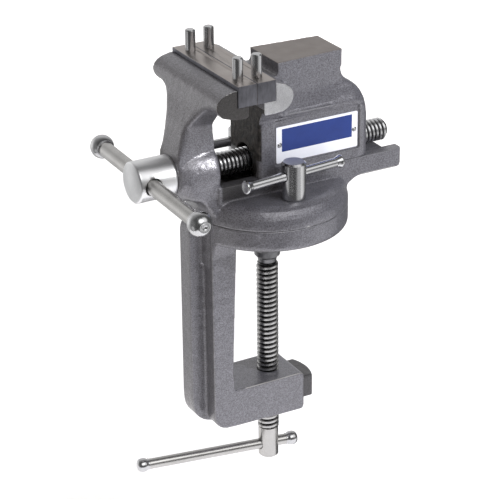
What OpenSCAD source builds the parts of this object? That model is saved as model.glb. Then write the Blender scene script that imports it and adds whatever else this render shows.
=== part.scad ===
// Clamp-on bench vise with a swivel base. Millimetres, +Z up, +X from the handle to the anvil.
// The origin is where the swivel axis meets the bench seat, the underside of the clamp frame's disc.

/* [Jaws] */
// Width of both jaws
jaw_w = 76.2; // [70:0.1:90]
// Height of the jaw tops and the anvil above the bench seat
jaw_top = 100; // [99:0.5:110]
// Thickness of one jaw block
block_t = 11.6; // [11:0.1:13]
// Height of a jaw block
block_h = 12.1; // [11.5:0.1:13]
// Where the closed jaws meet, ahead of the swivel axis
grip_x = -27; // [-28:0.1:-26.5]
// Diameter of the upright pins
pin_d = 6; // [4:0.1:7]
// Height of a pin above the jaw top
pin_up = 12.5; // [8:0.5:20]
// Distance between the two pins of a jaw
pin_gap = 54.4; // [48:0.2:60]
// How far the sliding jaw opens
jaw_travel = 63.5; // [40:0.5:63.5]

/* [Spindle] */
// Height of the spindle above the bench seat
spindle_z = 41.1; // [41.1:0.1:43]
// Outside diameter of the spindle thread
thread_d = 13.3; // [12:0.1:13.3]
// Pitch of the spindle thread
thread_pitch = 2.5; // [2:0.25:3]
// Diameter of the spindle's plain bearing in the front jaw
journal_d = 14; // [14:0.1:15]
// Diameter of the spindle head
head_d = 23.6; // [21:0.1:25]
// Length of the spindle head
head_l = 22.9; // [20:0.1:26]
// Where the screw end of the spindle stops
spindle_end = 78; // [77:0.5:84]
// Diameter of the handle bar
bar_d = 8.9; // [8:0.1:10]
// Distance between the centres of the bar's two balls
bar_span = 118.4; // [100:0.2:130]
// Diameter of a ball
ball_d = 13.7; // [12.5:0.1:15]
// How far the bar lies off centre in the head
bar_shift = -5; // [-10:0.5:10]

/* [Front jaw and base casting] */
// Where the spindle boss ends at the front
boss_front = -61.9; // [-64:0.1:-61]
// Rear face of the spindle boss
boss_rear = -38.5; // [-39.5:0.1:-37.5]
// Largest radius of the spindle boss
boss_r = 18.4; // [17.5:0.1:19]
// Half width of the neck between the boss and the jaw
neck_half = 11.6; // [11:0.1:13]
// Radius of the two swivel discs
disc_r = 46.4; // [45.5:0.1:48]
// Thickness of the lower disc, under the swivel joint
lower_t = 13; // [12:0.1:14]
// Thickness of the upper disc
upper_t = 12.3; // [12:0.1:13]
// Height of the rails' tops above the bench seat
rail_top = 34.5; // [34:0.1:34.6]
// Half width over the rails
rail_half = 18; // [17.5:0.1:19]
// Half width of the channel between the rails
channel_half = 10.5; // [10:0.1:11]
// End of the tail behind the swivel axis
tail_end = 80; // [76:0.5:86]

/* [Sliding jaw] */
// Front face of the sliding body
body_front = -14.3; // [-14.8:0.1:-13]
// Rear face of the sliding body
body_rear = 58.6; // [56:0.1:62]
// Half width of the sliding body
body_half = 17.5; // [17.2:0.1:18]
// Height of the edge above the nameplate panel
shoulder_z = 66; // [65:0.5:69]
// Front edge of the anvil
anvil_front = -1.2; // [-2:0.1:0]
// Rear edge of the anvil
anvil_rear = 41.2; // [38:0.1:46]
// Half width of the anvil at its front
anvil_half_front = 16.4; // [15:0.1:17]
// Half width of the anvil at its rear
anvil_half_rear = 13; // [12:0.1:15]

/* [Clamp frame] */
// Depth from the bench seat to the top of the arm
frame_gap = 95.7; // [88:0.1:105]
// Height of the arm
arm_h = 24.5; // [22:0.1:28]
// Half width of the column's flange and of the arm
flange_half = 16; // [15:0.1:18]
// Half width of the rib down the column's outside
rib_half = 6; // [5:0.1:8]
// Distance from the screw axis to the throat of the frame
throat = 28.8; // [27:0.1:31]
// Distance from the screw axis to the outside of the flange
flange_out = 44.4; // [43.5:0.1:45.5]
// Distance from the screw axis to the outside of the rib
rib_out = 53.3; // [52:0.1:56]
// End of the arm beyond the screw axis
arm_end = 15.5; // [14.5:0.1:18]

/* [Clamp screw] */
// Outside diameter of the clamp screw
screw_d = 12.7; // [11:0.1:13.5]
// Pitch of the clamp screw
screw_pitch = 3; // [2.5:0.25:3.5]
// Diameter of the screw's plain lower end
tail_d = 11.9; // [10:0.1:12.5]
// Lowest point of the clamp screw
screw_bottom = -154.6; // [-158:0.1:-153]
// Height of the clamp bar
clamp_bar_z = -146.9; // [-148:0.1:-145]
// Diameter of the clamp bar
clamp_bar_d = 6.3; // [5:0.1:7]
// Length of the clamp bar's long side, from the screw axis to the knob's centre
clamp_bar_long = 78.3; // [60:0.1:90]
// Length of its short side
clamp_bar_short = 13.8; // [13:0.1:20]
// Turn of the clamp bar about the screw
clamp_bar_turn = -10; // [-45:1:45]
// Height of the pad's face below the bench seat
pad_top = -9; // [-11:0.5:-7]
// Diameter of the pad
pad_d = 29; // [26:0.5:32]

/* [Swivel locks] */
// Distance of a lock post in from the rim of the disc
lock_in = 16; // [15.4:0.1:16.4]
// Diameter of a lock post
post_d = 13.9; // [13:0.1:14.5]
// Height of a lock post
post_h = 21.8; // [21:0.1:24]
// Height of the lock bars above the post's foot
lock_bar_up = 14; // [13.6:0.1:15]
// Diameter of a lock bar
lock_bar_d = 5.4; // [5:0.1:6.5]
// Overall length of a lock bar
lock_bar_l = 65.9; // [55:0.1:70]
// Diameter of a lock bar's end cap
cap_d = 7.6; // [7:0.1:9]
// Turn of the near lock bar from the spindle's direction
near_turn = 5.6; // [-8:0.1:8]
// Turn of the far lock bar from the spindle's direction
far_turn = -2; // [-8:0.1:8]
// Diameter of a lock stud
stud_d = 8; // [7:0.1:8.5]

/* [Nameplate] */
// Length of the nameplate
plate_l = 53.2; // [45:0.1:54]
// Height of the nameplate
plate_h = 21.5; // [18:0.1:22]
// Thickness of the nameplate
plate_t = 0.6; // [0.4:0.1:0.8]

/* [Fits] */
// Radial clearance of a running or threaded fit
fit = 0.05; // [0.03:0.01:0.1]
// Radial clearance of a bar that slides loosely in its hole
loose = 0.35; // [0.3:0.05:0.5]
// Clearance between faces that must not rub
gap = 0.3; // [0.2:0.05:0.4]

/* [Hidden] */
$fn = 48;
over = 1;                                   // how far a cutter runs past what it cuts

lock_r = disc_r - lock_in;                  // radius on which the two locks stand
seat_z = jaw_top - block_h;                 // top of the ledge that carries a jaw block
jaw_half = jaw_w / 2;
split_z = lower_t;                          // the plane on which the vise swivels
disc_top = lower_t + upper_t;
front_seat = grip_x - block_t;              // face behind the front block
rear_seat = grip_x + block_t;               // face behind the rear block
block_mid_z = seat_z + block_h / 2;
grip_screw_y = 14;
grip_screw_d = 5;
screw_play = 0.2;                           // room round a countersunk screw
grip_screw_in = 6;                          // how far a block's screw reaches into its jaw
roll_front = front_seat - 12.8;             // foremost point of the front jaw
roll_rear = rear_seat + 11;                 // rearmost point of the rear jaw's roll
roll_low = seat_z - 7;                      // underside of both jaws
lip = 6.8;                                  // how far a ledge reaches under its block
pivot_d = 12;
pivot_low = 4;
pivot_high = split_z + 9;
counter_d = 19;                             // recess in the boss for the washer and ring
counter_l = 3.5;
washer_t = 1.5;
ring_t = 1.2;
ring_groove_d = 11.6;
washer_x = boss_rear - counter_l;
ring_x = washer_x + washer_t + 0.1;
head_front = boss_front - head_l;
bar_x = boss_front - 14.9;                  // cross hole of the spindle head
bar_tilt = 1.2;
tunnel_r = 9.2;                             // tunnel for the spindle through the sliding body
nut_front = -6;
nut_l = 16;
nut_lug = 12;
nut_low = 29.5;
keeper_half = 13.3;                         // the keeper's flange, in the undercut of the rails
undercut_half = keeper_half + gap;
undercut_low = 27;
undercut_high = 30.2;
keeper_low = undercut_low + 0.2;
keeper_high = undercut_high - 0.2;
tongue_front = nut_front + nut_l + 2;       // the jaw's tongue runs between the rails behind the nut
tongue_end = body_rear + 14;
tongue_top = spindle_z - thread_d / 2 - gap;
tongue_half = channel_half - 0.2;
keeper_end = tongue_end - 3;
keeper_screw_x = [tongue_front + 8, body_rear - 9];
keeper_screw_d = 4;
keeper_screw_l = tongue_top - keeper_low - 0.6;
post_foot = disc_top;
post_top = post_foot + post_h;
lock_bar_z = post_foot + lock_bar_up;
stud_top = lock_bar_z - lock_bar_d / 2 - 1.5;
slot_narrow = stud_d + 0.4;                 // ring slot under the studs
slot_wide = 13.4;
slot_step = 7;                              // height of the step that the stud heads bear on
stud_head_d = slot_wide - 0.6;
arm_top = -frame_gap;
arm_low = arm_top - arm_h;
screw_thread_top = pad_top - 16.6;
screw_thread_low = arm_low - 14.4;
pad_spigot_d = 7;
thread_depth = 0.6;                         // depth of a thread groove as a share of its pitch
panel_z = spindle_z;                        // lowest edge of the nameplate
panel_x = body_front + 11.1;
panel_recess = 1.4;
panel_rim = 1;
rivet_inset = 2.2;
rivet_d = 3;
rivet_in = 5;                               // length of a rivet's shank in the body

// Points of an arc about c, from angle a to angle b
function arc(c, r, a, b, n = 6) = [for (i = [0:n]) c + r * [cos(a + (b - a) * i / n),
    sin(a + (b - a) * i / n)]];
// Mirror image of a profile's right half, so that [y, z] points become a closed symmetrical outline
function both(p) = concat(p, [for (i = [len(p) - 1:-1:0]) [-p[i][0], p[i][1]]]);
// Outline of a threaded stretch from z to z + l: [radius, height] points, root first and crest after
function thread(d, pitch, z, l) = let (turns = floor(l / pitch), r = d / 2,
    root = d / 2 - thread_depth * pitch)
    [for (i = [0:turns - 1], k = [0:2]) [k == 0 ? root : r, z + (i + [0.04, 0.42, 0.66][k]) * pitch]];

// An [x, z] outline drawn out to both sides of the middle plane
module across(half) rotate([90, 0, 0]) translate([0, 0, -half]) linear_extrude(2 * half) children();
// A [y, z] outline drawn out along X
module along(from, to) translate([from, 0, 0]) rotate([90, 0, 90]) linear_extrude(to - from) children();
// A rod along X
module rod_x(d, from, to) translate([from, 0, 0]) rotate([0, 90, 0]) cylinder(d = d, h = to - from);
// A rod along Y
module rod_y(d, from, to) translate([0, to, 0]) rotate([90, 0, 0]) cylinder(d = d, h = to - from);
// A [radius, x] outline turned about the X axis
module turn_x() rotate([0, 90, 0]) rotate_extrude() children();
// Copies on both sides of the middle plane
module sides(y) for (s = [-1, 1]) translate([0, s * y, 0]) children();

module clamp_frame() color("slategray") difference() {
    union() {
        lower_disc();
        column();
        arm();
    }
    translate([0, 0, pivot_low]) cylinder(d = pivot_d, h = split_z);
    rotate_extrude() {
        translate([lock_r - slot_wide / 2, -over]) square([slot_wide, slot_step + over]);
        translate([lock_r - slot_narrow / 2, -over]) square([slot_narrow, split_z + 2 * over]);
    }
    translate([0, 0, arm_low - over]) cylinder(d = screw_d + 2 * fit, h = arm_h + 2 * over);
}

module lower_disc() rotate_extrude() polygon(concat([[0, 0], [disc_r - 3, 0]],
    arc([disc_r - 3, 3], 3, -90, 0, 4), [[disc_r, split_z - 0.5], [disc_r - 0.5, split_z], [0, split_z]]));

// T-shaped column: a broad flange at the throat and a rib down the outside
module column() {
    flare_z = -8;
    foot_r = 9;
    rib_foot_r = 14;
    rib_top_r = 8;
    across(flange_half) polygon(concat([[-flange_out, split_z], [-flange_out, arm_low + foot_r + 2]],
        arc([-flange_out + foot_r, arm_low + foot_r + 1.2], foot_r, 180, 262),
        [[-throat, arm_low + 0.9], [-throat - 3, arm_top + 11], [-throat, -7], [-throat, 1],
            [-throat, split_z]]));
    across(rib_half) polygon(concat([[-flange_out + 4, split_z]],
        arc([-rib_out + rib_top_r, split_z - rib_top_r], rib_top_r, 90, 180),
        [[-rib_out - 0.4, arm_low + rib_foot_r + 8]],
        arc([-rib_out + rib_foot_r, arm_low + rib_foot_r + 3], rib_foot_r, 185, 265),
        [[-flange_out + 4, arm_low + 3]]));
    intersection() {
        along(-disc_r, -throat) polygon(both([[flange_half - 1, flare_z - 6], [flange_half, flare_z],
            [flange_half + 0.9, flare_z + 5], [flange_half + 2.4, flare_z + 10],
                [flange_half + 5, flare_z + 15],
            [flange_half + 8.4, flare_z + 19], [flange_half + 9, split_z - 1]]));
        cylinder(r = disc_r, h = 4 * split_z, center = true);
    }
}

module arm() {
    tongue_half = 11.5;
    tongue_r = arm_end + 10.9;
    edge = 2.5;
    across(flange_half) polygon(concat([[-throat - 4, arm_top], [arm_end - edge, arm_top]],
        arc([arm_end - edge, arm_top - edge], edge, 90, 0, 3),
        arc([arm_end - edge, arm_low + edge], edge, 0, -90, 3), [[-throat - 8, arm_low + 1.1]]));
    intersection() {
        translate([0, 0, arm_low + 4.6]) cylinder(r = tongue_r, h = arm_h - 10.4);
        translate([0, -tongue_half, arm_low]) cube([tongue_r, 2 * tongue_half, arm_h]);
    }
}

module pivot_pin() color("silver") translate([0, 0, pivot_low]) {
    cylinder(d = pivot_d, h = pivot_high - pivot_low - 1);
    translate([0, 0, pivot_high - pivot_low - 1]) cylinder(d1 = pivot_d, d2 = pivot_d - 2, h = 1);
}

module swivel_base() color("slategray") difference() {
    union() {
        upper_disc();
        front_jaw();
        rails();
    }
    translate([0, 0, split_z - over]) cylinder(d = pivot_d + 2 * fit, h = pivot_high + gap - split_z + over);
    sides(lock_r) translate([0, 0, split_z - over]) cylinder(d = stud_d + 0.2, h = upper_t + 2 * over);
    channel();
    translate([0, 0, spindle_z]) {
        rod_x(journal_d + 2 * fit, boss_front - over, boss_rear + over);
        rod_x(counter_d, washer_x, boss_rear + 12);
    }
    sides(grip_screw_y) translate([0, 0, block_mid_z]) rod_x(grip_screw_d,
        front_seat - grip_screw_in - 0.5, front_seat + over);
}

module upper_disc() rotate_extrude() polygon([[0, split_z], [disc_r - 0.5, split_z], [disc_r, split_z + 0.5],
    [disc_r, split_z + 3], [disc_r - 0.7, split_z + 6], [disc_r - 1.9, disc_top - 3.8],
    [disc_r - 3.4, disc_top - 1.7], [disc_r - 5.6, disc_top - 0.5], [disc_r - 8, disc_top], [0, disc_top]]);

// The front jaw is as broad as its side outline and as deep as its front outline allow
module front_jaw() {
    rise = seat_z - spindle_z;
    back = boss_rear - 0.7;
    ledge_end = front_seat + lip;
    intersection() {
        across(jaw_half) polygon([[boss_front, spindle_z + 4], [boss_front + 0.4, spindle_z + 0.25 * rise],
            [boss_front + 2.7, spindle_z + 0.5 * rise], [boss_front + 4.2, spindle_z + 0.65 * rise],
            [boss_front + 6.6, spindle_z + 0.76 * rise], [boss_front + 8.3, spindle_z + 0.84 * rise],
            [roll_front - 0.5, spindle_z + 0.92 * rise], [roll_front, seat_z], [roll_front, seat_z + 2.6],
            [front_seat, seat_z + 2.6], [front_seat, seat_z - 2], [back, roll_low - 4],
            [back - 1.2, spindle_z + 0.62 * rise], [back, spindle_z + 0.4 * rise], [back, spindle_z]]);
        along(boss_front - over, 0) polygon(both([[neck_half, spindle_z - over],
            [neck_half, spindle_z + 0.5 * rise],
            [neck_half + 0.9, spindle_z + 0.65 * rise], [neck_half + 4.6, spindle_z + 0.76 * rise],
            [neck_half + 7.9, spindle_z + 0.84 * rise], [neck_half + 11.8, spindle_z + 0.92 * rise],
            [neck_half + 18.6, seat_z - 0.4], [jaw_half - 1.4, seat_z + 2], [jaw_half, seat_z + 3]]));
    }
    across(jaw_half - 0.6) polygon([[front_seat, jaw_top - 2.4], [front_seat - 2, jaw_top - 2.4],
        [roll_front + 5.8, jaw_top - 3.6], [roll_front + 2.9, jaw_top - 5], [roll_front + 0.9, jaw_top - 7],
        [roll_front, seat_z + 2.6], [roll_front + 0.3, seat_z + 0.2], [roll_front + 1.4, seat_z - 2],
        [roll_front + 3.8, seat_z - 4.5], [roll_front + 8.4, roll_low + 1.1],
            [roll_front + 13, roll_low + 0.2],
        [ledge_end - 2, roll_low], [ledge_end, roll_low + 1], [ledge_end, seat_z], [front_seat, seat_z]]);
    translate([0, 0, spindle_z]) turn_x() polygon([[0, boss_front], [head_d / 2 + 1.2, boss_front],
        [head_d / 2 + 2.4, boss_front + 1.6], [boss_r - 2.4, boss_front + 6],
            [boss_r - 0.9, boss_front + 11.5],
        [boss_r, boss_front + 17], [boss_r, boss_rear - 1.5], [boss_r - 1.5, boss_rear], [0, boss_rear]]);
    pedestal();
}

// The boss runs down onto the disc with a round front, and at its foot stays within the disc's rim
module pedestal() intersection() {
    round_r = 18;
    round_lean = -16;
    across(disc_r) polygon([[boss_rear, spindle_z], [boss_rear, spindle_z - 9],
        [boss_rear + 2.5, disc_top + 2],
        [boss_rear + 7, disc_top], [boss_rear + 7, split_z + 0.5], [-disc_r, split_z + 0.5],
            [-disc_r, split_z + 3.5],
        [-disc_r - 1.6, disc_top - 4], [boss_front + 9, disc_top], [boss_front + 4.6, spindle_z - 10],
        [boss_front + 1.6, spindle_z - 4], [boss_front + 1, spindle_z]]);
    along(boss_front, 0) polygon(both([[boss_r - 2, spindle_z], [boss_r - 1.6, spindle_z - 8],
        [boss_r - 2.2, spindle_z - 12], [boss_r - 2, disc_top], [boss_r, disc_top - 4],
            [boss_r + 1, split_z]]));
    translate([-disc_r + 8.4, 0, split_z]) rotate([0, round_lean, 0]) translate([0, 0, -round_r])
        cylinder(r1 = round_r - 1, r2 = round_r + 2, h = 3 * round_r);
    rotate_extrude() polygon([[0, split_z], [disc_r - 0.5, split_z], [disc_r, split_z + 0.5],
        [disc_r, split_z + 5],
        [disc_r + 1.5, disc_top - 3], [disc_r + 5, disc_top + 2], [disc_r - boss_front, spindle_z],
            [0, spindle_z]]);
}

module rails() {
    tail_low = disc_top - 1.9;
    corner = 3.5;
    intersection() {
        across(rail_half) polygon(concat([[boss_rear - 2, split_z + over], [boss_rear - 2, rail_top],
            [tail_end, rail_top]],
            arc([tail_end - corner, tail_low + corner], corner, 0, -90, 4),
            [[disc_r + 4, tail_low], [disc_r + 1, tail_low - 1], [disc_r - 3, tail_low - 3.6],
                [disc_r - 5, split_z + over]]));
        linear_extrude(jaw_top) polygon([for (p = both(concat([[rail_half, boss_rear - 2]],
            arc([rail_half - corner, tail_end - corner], corner, 0, 90, 4)))) [p[1], p[0]]]);
    }
}

// Space between the rails, with an undercut on each side for the keeper's flange
module channel() {
    translate([boss_rear + 6, -channel_half, undercut_low]) cube([tail_end - boss_rear, 2 * channel_half,
        rail_top]);
    translate([boss_rear + 20, -undercut_half, undercut_low])
        cube([tail_end - boss_rear, 2 * undercut_half, undercut_high - undercut_low]);
}

module jaw_block(from) color("rosybrown") difference() {
    translate([from, -jaw_half, seat_z]) cube([block_t, jaw_w, block_h]);
    sides(pin_gap / 2) translate([from + block_t / 2, 0, seat_z + 1.5])
        cylinder(d = pin_d + fit, h = block_h);
}
module front_jaw_block() difference() {
    jaw_block(front_seat);
    sides(grip_screw_y) translate([0, 0, block_mid_z]) block_screw(front_seat, -1, screw_play);
}
module rear_jaw_block() difference() {
    jaw_block(grip_x);
    sides(grip_screw_y) translate([0, 0, block_mid_z]) block_screw(rear_seat, 1, screw_play);
}

// Countersunk screw in a block: its tip lies in the jaw, its head under the gripping face
module block_screw(seat, way, play) {
    head_r = 4.6 + play;
    shank_r = grip_screw_d / 2 + play / 2;
    face = play > 0 ? block_t + play : block_t - 0.4;
    translate([seat, 0, 0]) rotate([0, 0, way > 0 ? 180 : 0]) turn_x() polygon([[0, -grip_screw_in],
        [shank_r, -grip_screw_in], [shank_r, block_t - 4], [head_r, block_t - 1.4], [head_r, face],
            [0, face]]);
}
module front_block_screws() color("dimgray") sides(grip_screw_y) translate([0, 0, block_mid_z])
    block_screw(front_seat, -1, 0);
module rear_block_screws() color("dimgray") sides(grip_screw_y) translate([0, 0, block_mid_z])
    block_screw(rear_seat, 1, 0);

module jaw_pins(x) color("gainsboro") sides(pin_gap / 2) translate([x, 0, seat_z + 1.5]) rotate_extrude()
    polygon([[0, 0], [pin_d / 2, 0], [pin_d / 2, jaw_top + pin_up - seat_z - 2.1],
    [pin_d / 2 - 0.6, jaw_top + pin_up - seat_z - 1.5], [0, jaw_top + pin_up - seat_z - 1.5]]);
module front_jaw_pins() jaw_pins(front_seat + block_t / 2);
module rear_jaw_pins() jaw_pins(grip_x + block_t / 2);

module spindle() color("lightgray") translate([0, 0, spindle_z]) difference() {
    turn_x() polygon(concat([[0, head_front], [head_d / 2 - 0.8, head_front], [head_d / 2, head_front + 0.8],
        [head_d / 2, boss_front - 0.4], [head_d / 2 - 0.4, boss_front], [journal_d / 2, boss_front],
        [journal_d / 2, ring_x], [ring_groove_d / 2, ring_x], [ring_groove_d / 2, ring_x + ring_t + 0.1],
        [thread_d / 2, ring_x + ring_t + 0.1]],
        thread(thread_d, thread_pitch, ring_x + ring_t + 1, spindle_end - ring_x - ring_t - 3),
        [[thread_d / 2 - 1.6, spindle_end], [0, spindle_end]]));
    translate([bar_x, 0, 0]) rotate([bar_tilt, 0, 0]) rod_y(bar_d + 2 * loose, -head_d, head_d);
}

module spindle_washer() color("gray") translate([0, 0, spindle_z]) difference() {
    rod_x(counter_d - 1, washer_x, washer_x + washer_t);
    rod_x(journal_d + 2 * fit, washer_x - over, washer_x + washer_t + over);
}

module retaining_ring() color("dimgray") translate([ring_x + 0.05, 0, spindle_z]) difference() {
    rod_x(counter_d - 2.4, 0, ring_t);
    rod_x(ring_groove_d + fit, -over, ring_t + over);
    translate([-over, -3, 0]) cube([ring_t + 2 * over, 6, counter_d]);
}

module spindle_bar() color("silver") bar_place() rod_y_set(bar_span, bar_d, ball_d * 0.36);
module spindle_bar_balls() color("gainsboro") bar_place() for (s = [-1, 1]) scale([1, s, 1])
    translate([0, bar_span / 2, 0]) ball_end(ball_d, bar_d);
module bar_place() translate([bar_x, 0, spindle_z]) rotate([bar_tilt, 0, 0]) translate([0, bar_shift, 0])
    children();

// A bar along Y whose two reduced ends carry the balls
module rod_y_set(span, d, seat) {
    rod_y(d, -span / 2 + seat, span / 2 - seat);
    rod_y(d * 0.6, -span / 2 - seat / 3, span / 2 + seat / 3);
}
// A turned ball on the end of a bar that comes from -Y, with a flat at each side
module ball_end(d, bar) rotate([-90, 0, 0]) difference() {
    r = d / 2;
    rotate_extrude() polygon(concat([[0, -r * 0.72]], arc([0, 0], r, -46, 62, 12), [[0, r * 0.883]]));
    translate([0, 0, -r]) cylinder(d = bar * 0.6 + fit, h = r + d * 0.12);
}

module sliding_jaw() color("slategray") difference() {
    union() {
        difference() {
            union() {
                body_form();
                rear_roll();
            }
            tunnel();
        }
        tongue();
    }
    nut_pocket();
    panel();
    keeper_screw_places() cylinder(d = keeper_screw_d, h = keeper_screw_l + 0.2);
    sides(grip_screw_y) translate([0, 0, block_mid_z]) rod_x(grip_screw_d, rear_seat - over,
        rear_seat + grip_screw_in + 0.5);
    rivet_places() rod_y(rivet_d * 0.55, -over, rivet_in + 1);
}

module body_form() {
    corner = 8;
    dome = 13;
    rise = 4;                          // height of each step of the shoulder, from the body in to the anvil
    lean = anvil_half_front - anvil_half_rear;
    intersection() {
        across(jaw_half) polygon([[body_front, rail_top], [body_front, roll_low + 1],
            [rear_seat, roll_low + 1],
            [rear_seat, jaw_top - 2], [rear_seat + 6, jaw_top - 4], [rear_seat + 9.6, jaw_top - 7.4],
            [anvil_front - 1, jaw_top - 7.4], [anvil_front, jaw_top - 5.5], [anvil_front, jaw_top],
            [anvil_rear, jaw_top], [anvil_rear, jaw_top - 12], [anvil_rear + 1, jaw_top - 15.5],
            [anvil_rear + 3.4, jaw_top - 18.5], [body_rear - 9.6, jaw_top - 21],
                [body_rear - 5.2, jaw_top - 25],
            [body_rear - 2.6, jaw_top - 30], [body_rear - 1, jaw_top - 38], [body_rear, jaw_top - 48],
            [body_rear, rail_top]]);
        union() {
            linear_extrude(shoulder_z) plan(body_half, body_half, body_rear, corner);
            linear_extrude(shoulder_z + rise) plan(body_half - 0.6, body_half - 0.6, body_rear - 0.6, corner);
            linear_extrude(shoulder_z + 2 * rise) plan(anvil_half_front + 0.3, body_half - 0.5 * lean,
                body_rear - 1.2, corner + 1);
            linear_extrude(shoulder_z + 3 * rise) plan(anvil_half_front, body_half - 0.8 * lean,
                body_rear - 1.6, corner + 3);
            linear_extrude(jaw_top) plan(anvil_half_front, anvil_half_rear, body_rear, dome);
        }
    }
}

// Plan outline of the body: half widths at the front and the rear, and rounded rear corners
module plan(front, rear, end, r) polygon([for (p = both(concat([[front - 1.5, body_front],
    [front, body_front + 1.5]],
    arc([rear - r * 0.7, end - r], r * 0.7, 0, 0, 1), [[rear - 0.3 * r * 0.3, end - r * 0.55],
    [rear - 0.7 * r * 0.42, end - r * 0.25], [rear - r * 0.55, end - r * 0.07], [rear - r * 0.8, end]])))
    [p[1], p[0]]]);

// The rear jaw's roll and the flare that carries it out from the body
module rear_roll() {
    across(jaw_half) polygon([[rear_seat, jaw_top - 1.8], [rear_seat + 6.1, jaw_top - 3.7],
        [rear_seat + 9.4, jaw_top - 6.4], [roll_rear - 0.3, jaw_top - 8.6], [roll_rear, seat_z + 1.5],
        [roll_rear - 0.4, seat_z - 0.8], [roll_rear - 1.6, seat_z - 3.3], [roll_rear - 3.4, seat_z - 5.2],
        [roll_rear - 6, seat_z - 6.6], [rear_seat - 0.2, roll_low - 0.2], [rear_seat - lip, roll_low - 0.2],
        [rear_seat - lip - 0.6, roll_low + 2], [rear_seat - lip - 0.6, seat_z], [rear_seat, seat_z]]);
    flare = body_half + 3;
    intersection() {
        along(body_front, roll_rear + 6) polygon(both([[body_half - 2, shoulder_z],
            [body_half, shoulder_z + 3],
            [body_half + 1.4, shoulder_z + 6], [flare + 1, roll_low - 5], [flare + 7, roll_low - 2],
            [jaw_half - 3, roll_low + 0.6], [jaw_half - 2, seat_z], [flare, seat_z + 1],
                [flare, seat_z + 1.5]]));
        linear_extrude(jaw_top) polygon([[body_front, -jaw_half], [body_front, jaw_half],
            [roll_rear - 3, jaw_half],
            [roll_rear, flare + 3], [roll_rear + 6, body_half - 1], [roll_rear + 6, -body_half + 1],
            [roll_rear, -flare - 3], [roll_rear - 3, -jaw_half]]);
    }
}

module tunnel() {
    translate([0, 0, spindle_z]) rod_x(2 * tunnel_r, body_front - over, body_rear + over);
    translate([body_front - over, -tunnel_r, rail_top - over])
        cube([body_rear - body_front + 2 * over, 2 * tunnel_r, spindle_z - rail_top + over]);
}
module tongue() across(tongue_half) polygon([[tongue_front, keeper_high], [tongue_end, keeper_high],
    [tongue_end - 1.5, tongue_top], [tongue_front, tongue_top]]);
module nut_pocket() translate([nut_front - 0.05, -nut_lug - 0.05, rail_top - over])
    cube([nut_l + 0.1, 2 * nut_lug + 0.1, 11.6 + over]);
module panel() translate([panel_x - panel_rim, -body_half - over, panel_z - panel_rim])
    cube([plate_l + 2 * panel_rim, panel_recess + over, plate_h + 2 * panel_rim]);
module rivet_places() for (x = [rivet_inset, plate_l - rivet_inset])
    translate([panel_x + x, panel_recess - body_half, panel_z + plate_h / 2]) children();

module spindle_nut() color("goldenrod") difference() {
    union() {
        translate([nut_front, -tunnel_r + 0.05, nut_low])
            cube([nut_l, 2 * tunnel_r - 0.1, spindle_z - nut_low]);
        translate([0, 0, spindle_z]) rod_x(2 * tunnel_r - 0.1, nut_front, nut_front + nut_l);
        translate([nut_front, -nut_lug, rail_top + gap]) cube([nut_l, 2 * nut_lug, 11.3 - gap]);
    }
    translate([0, 0, spindle_z]) rod_x(thread_d + 2 * fit, nut_front - over, nut_front + nut_l + over);
}

// Plate under the tongue: it hooks below the rails and keeps the jaw down
module jaw_keeper() color("gray") difference() {
    translate([tongue_front, -keeper_half, keeper_low])
        cube([keeper_end - tongue_front, 2 * keeper_half, keeper_high - keeper_low]);
    keeper_screw_places() keeper_screw(screw_play);
}
module keeper_screws() color("dimgray") keeper_screw_places() keeper_screw(0);
module keeper_screw_places() for (x = keeper_screw_x) translate([x, 0, keeper_low]) children();
// Countersunk from below, its tip just short of the tongue's top
module keeper_screw(play) rotate_extrude() polygon([[0, 0.2 - play],
    [keeper_screw_d + play - 0.4, 0.2 - play],
    [keeper_screw_d / 2 + play / 2, keeper_screw_d / 2 - 0.2],
        [keeper_screw_d / 2 + play / 2, keeper_screw_l],
    [0, keeper_screw_l]]);

module nameplate() color("white") difference() {
    translate([panel_x, panel_recess - plate_t - body_half, panel_z]) cube([plate_l, plate_t, plate_h]);
    rivet_places() rod_y(rivet_d * 0.55, -2, 1);
}
module nameplate_rivets() color("silver") rivet_places() {
    rod_y(rivet_d * 0.5, -plate_t, rivet_in);
    translate([0, -plate_t, 0]) rotate([90, 0, 0]) cylinder(d1 = rivet_d, d2 = rivet_d * 0.6,
        h = rivet_d * 0.2);
}

module lock_studs() color("gray") sides(lock_r) {
    translate([0, 0, slot_step - 0.1 - 5]) cylinder(d = stud_head_d, h = 5);
    translate([-stud_d * 0.475, -stud_d * 0.475, slot_step - 0.2])
        cube([stud_d * 0.95, stud_d * 0.95, split_z - slot_step]);
    translate([0, 0, slot_step]) cylinder(d = stud_d, h = stud_top - slot_step);
}

module lock_post(turn) color("gainsboro") difference() {
    rotate_extrude() polygon([[0, post_foot], [post_d / 2 - 0.5, post_foot], [post_d / 2, post_foot + 0.5],
        [post_d / 2, post_top - 1.1], [post_d / 2 - 1.1, post_top], [0, post_top]]);
    translate([0, 0, post_foot - over]) cylinder(d = stud_d + 2 * fit, h = stud_top + 0.2 - post_foot + over);
    translate([0, 0, lock_bar_z]) rotate([0, 0, turn]) rod_x(lock_bar_d + 2 * loose, -post_d, post_d);
}
module lock_post_near() translate([0, -lock_r, 0]) lock_post(near_turn);
module lock_post_far() translate([0, lock_r, 0]) lock_post(far_turn);

module lock_bar(turn) color("gainsboro") translate([0, 0, lock_bar_z]) rotate([0, 0, turn]) {
    rod_x(lock_bar_d, -lock_bar_l / 2 + 4.2, lock_bar_l / 2 - 4.2);
    rod_x(lock_bar_d * 0.6, -lock_bar_l / 2 + 1, lock_bar_l / 2 - 1);
}
module lock_bar_near() translate([0, -lock_r, 0]) lock_bar(near_turn);
module lock_bar_far() translate([0, lock_r, 0]) lock_bar(far_turn);

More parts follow.
